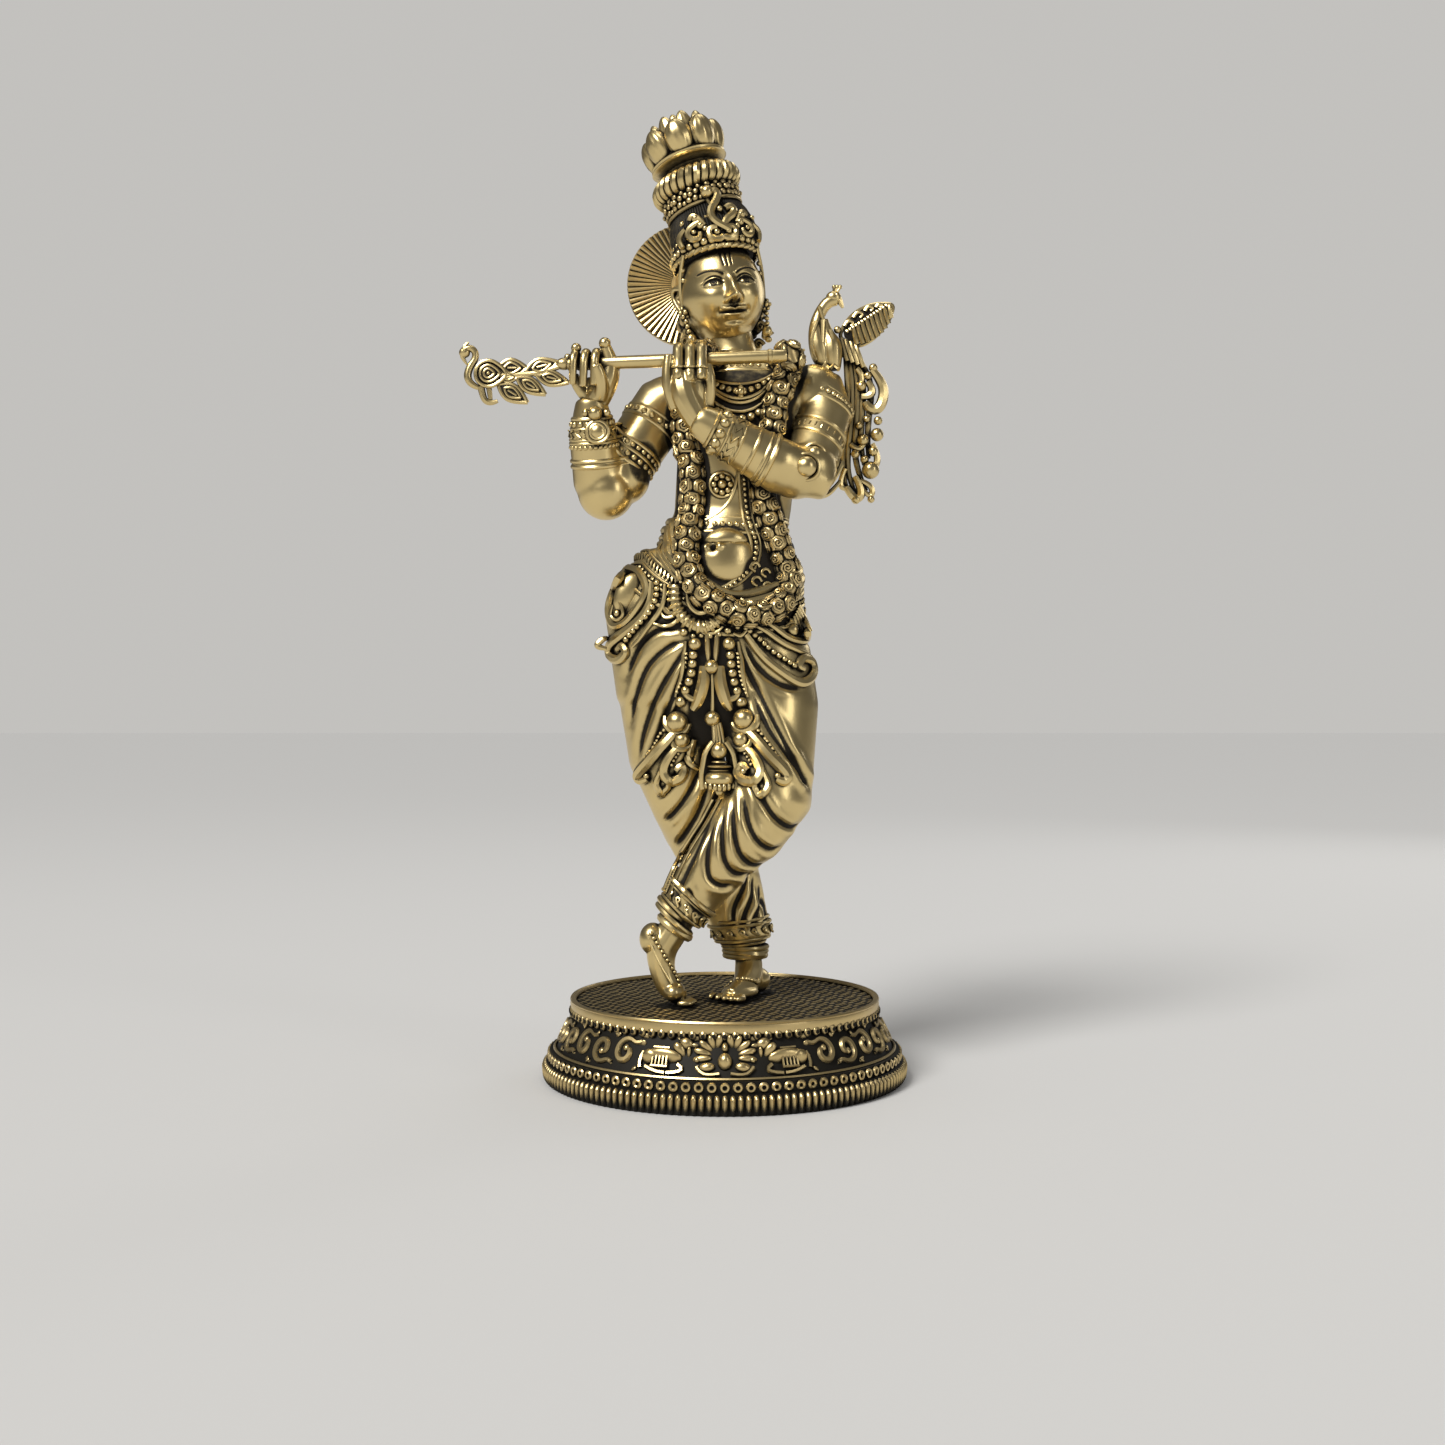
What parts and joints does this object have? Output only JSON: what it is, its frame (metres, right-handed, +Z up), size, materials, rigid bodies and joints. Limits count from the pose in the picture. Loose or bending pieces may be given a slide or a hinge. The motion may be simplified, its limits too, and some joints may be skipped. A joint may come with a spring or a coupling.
{
  "type": "brass deity statuette",
  "caption": "Standing brass deity playing a transverse flute, one leg crossed, lotus crown and peacock on the shoulder, on a round hollow pedestal.",
  "frame": {"origin": "centre of the pedestal's resting face", "axes": "+Z up, -Y the side that the figure faces, +X on the viewer's right"},
  "size_m": [0.081, 0.0672, 0.1798],
  "materials": {
    "worn_brass": "cast brass, highlights rubbed bright, dark wash in the recesses",
    "antiqued_brass": "cast brass with most of its dark antique wash left on"
  },
  "bodies": {
    "root": {"belly_band": "worn_brass", "bracelet_medallion": "worn_brass", "buckle": "worn_brass", "collar": "worn_brass", "crossing_anklet": "worn_brass", "crossing_foot": "worn_brass", "crossing_hem_cuff": "worn_brass", "dhoti_casting": "worn_brass", "diadem": "worn_brass", "diadem_crest": "worn_brass", "earrings": "worn_brass", "elbow_ornament": "worn_brass", "fixing_screws": "antiqued_brass", "flute": "worn_brass", "flute_finial": "worn_brass", "garland": "antiqued_brass", "hair_bun": "antiqued_brass", "halo_disc": "antiqued_brass", "head": "worn_brass", "hip_belt": "worn_brass", "left_arm": "worn_brass", "left_armlet": "worn_brass", "left_bead_loop": "worn_brass", "left_bracelet": "worn_brass", "left_forearm_ring": "worn_brass", "left_hand": "worn_brass", "left_sash": "worn_brass", "left_scroll": "worn_brass", "lotus_dish": "worn_brass", "lotus_petals": "worn_brass", "peacock_body": "antiqued_brass", "peacock_tail": "antiqued_brass", "peacock_wing": "antiqued_brass", "pearl_necklace": "worn_brass", "pedestal_casting": "antiqued_brass", "right_arm": "worn_brass", "right_armlet": "worn_brass", "right_bead_loop": "worn_brass", "right_bracelet": "worn_brass", "right_forearm_ring": "worn_brass", "right_hand": "worn_brass", "right_sash": "worn_brass", "right_scroll": "worn_brass", "rope_ring": "worn_brass", "rosette_pendant": "worn_brass", "sacred_thread": "worn_brass", "standing_anklet": "worn_brass", "standing_foot": "worn_brass", "standing_hem_cuff": "worn_brass", "tassel": "worn_brass", "topknot": "antiqued_brass", "torso": "worn_brass", "waist_belt": "worn_brass"}
  },
  "joints": []
}
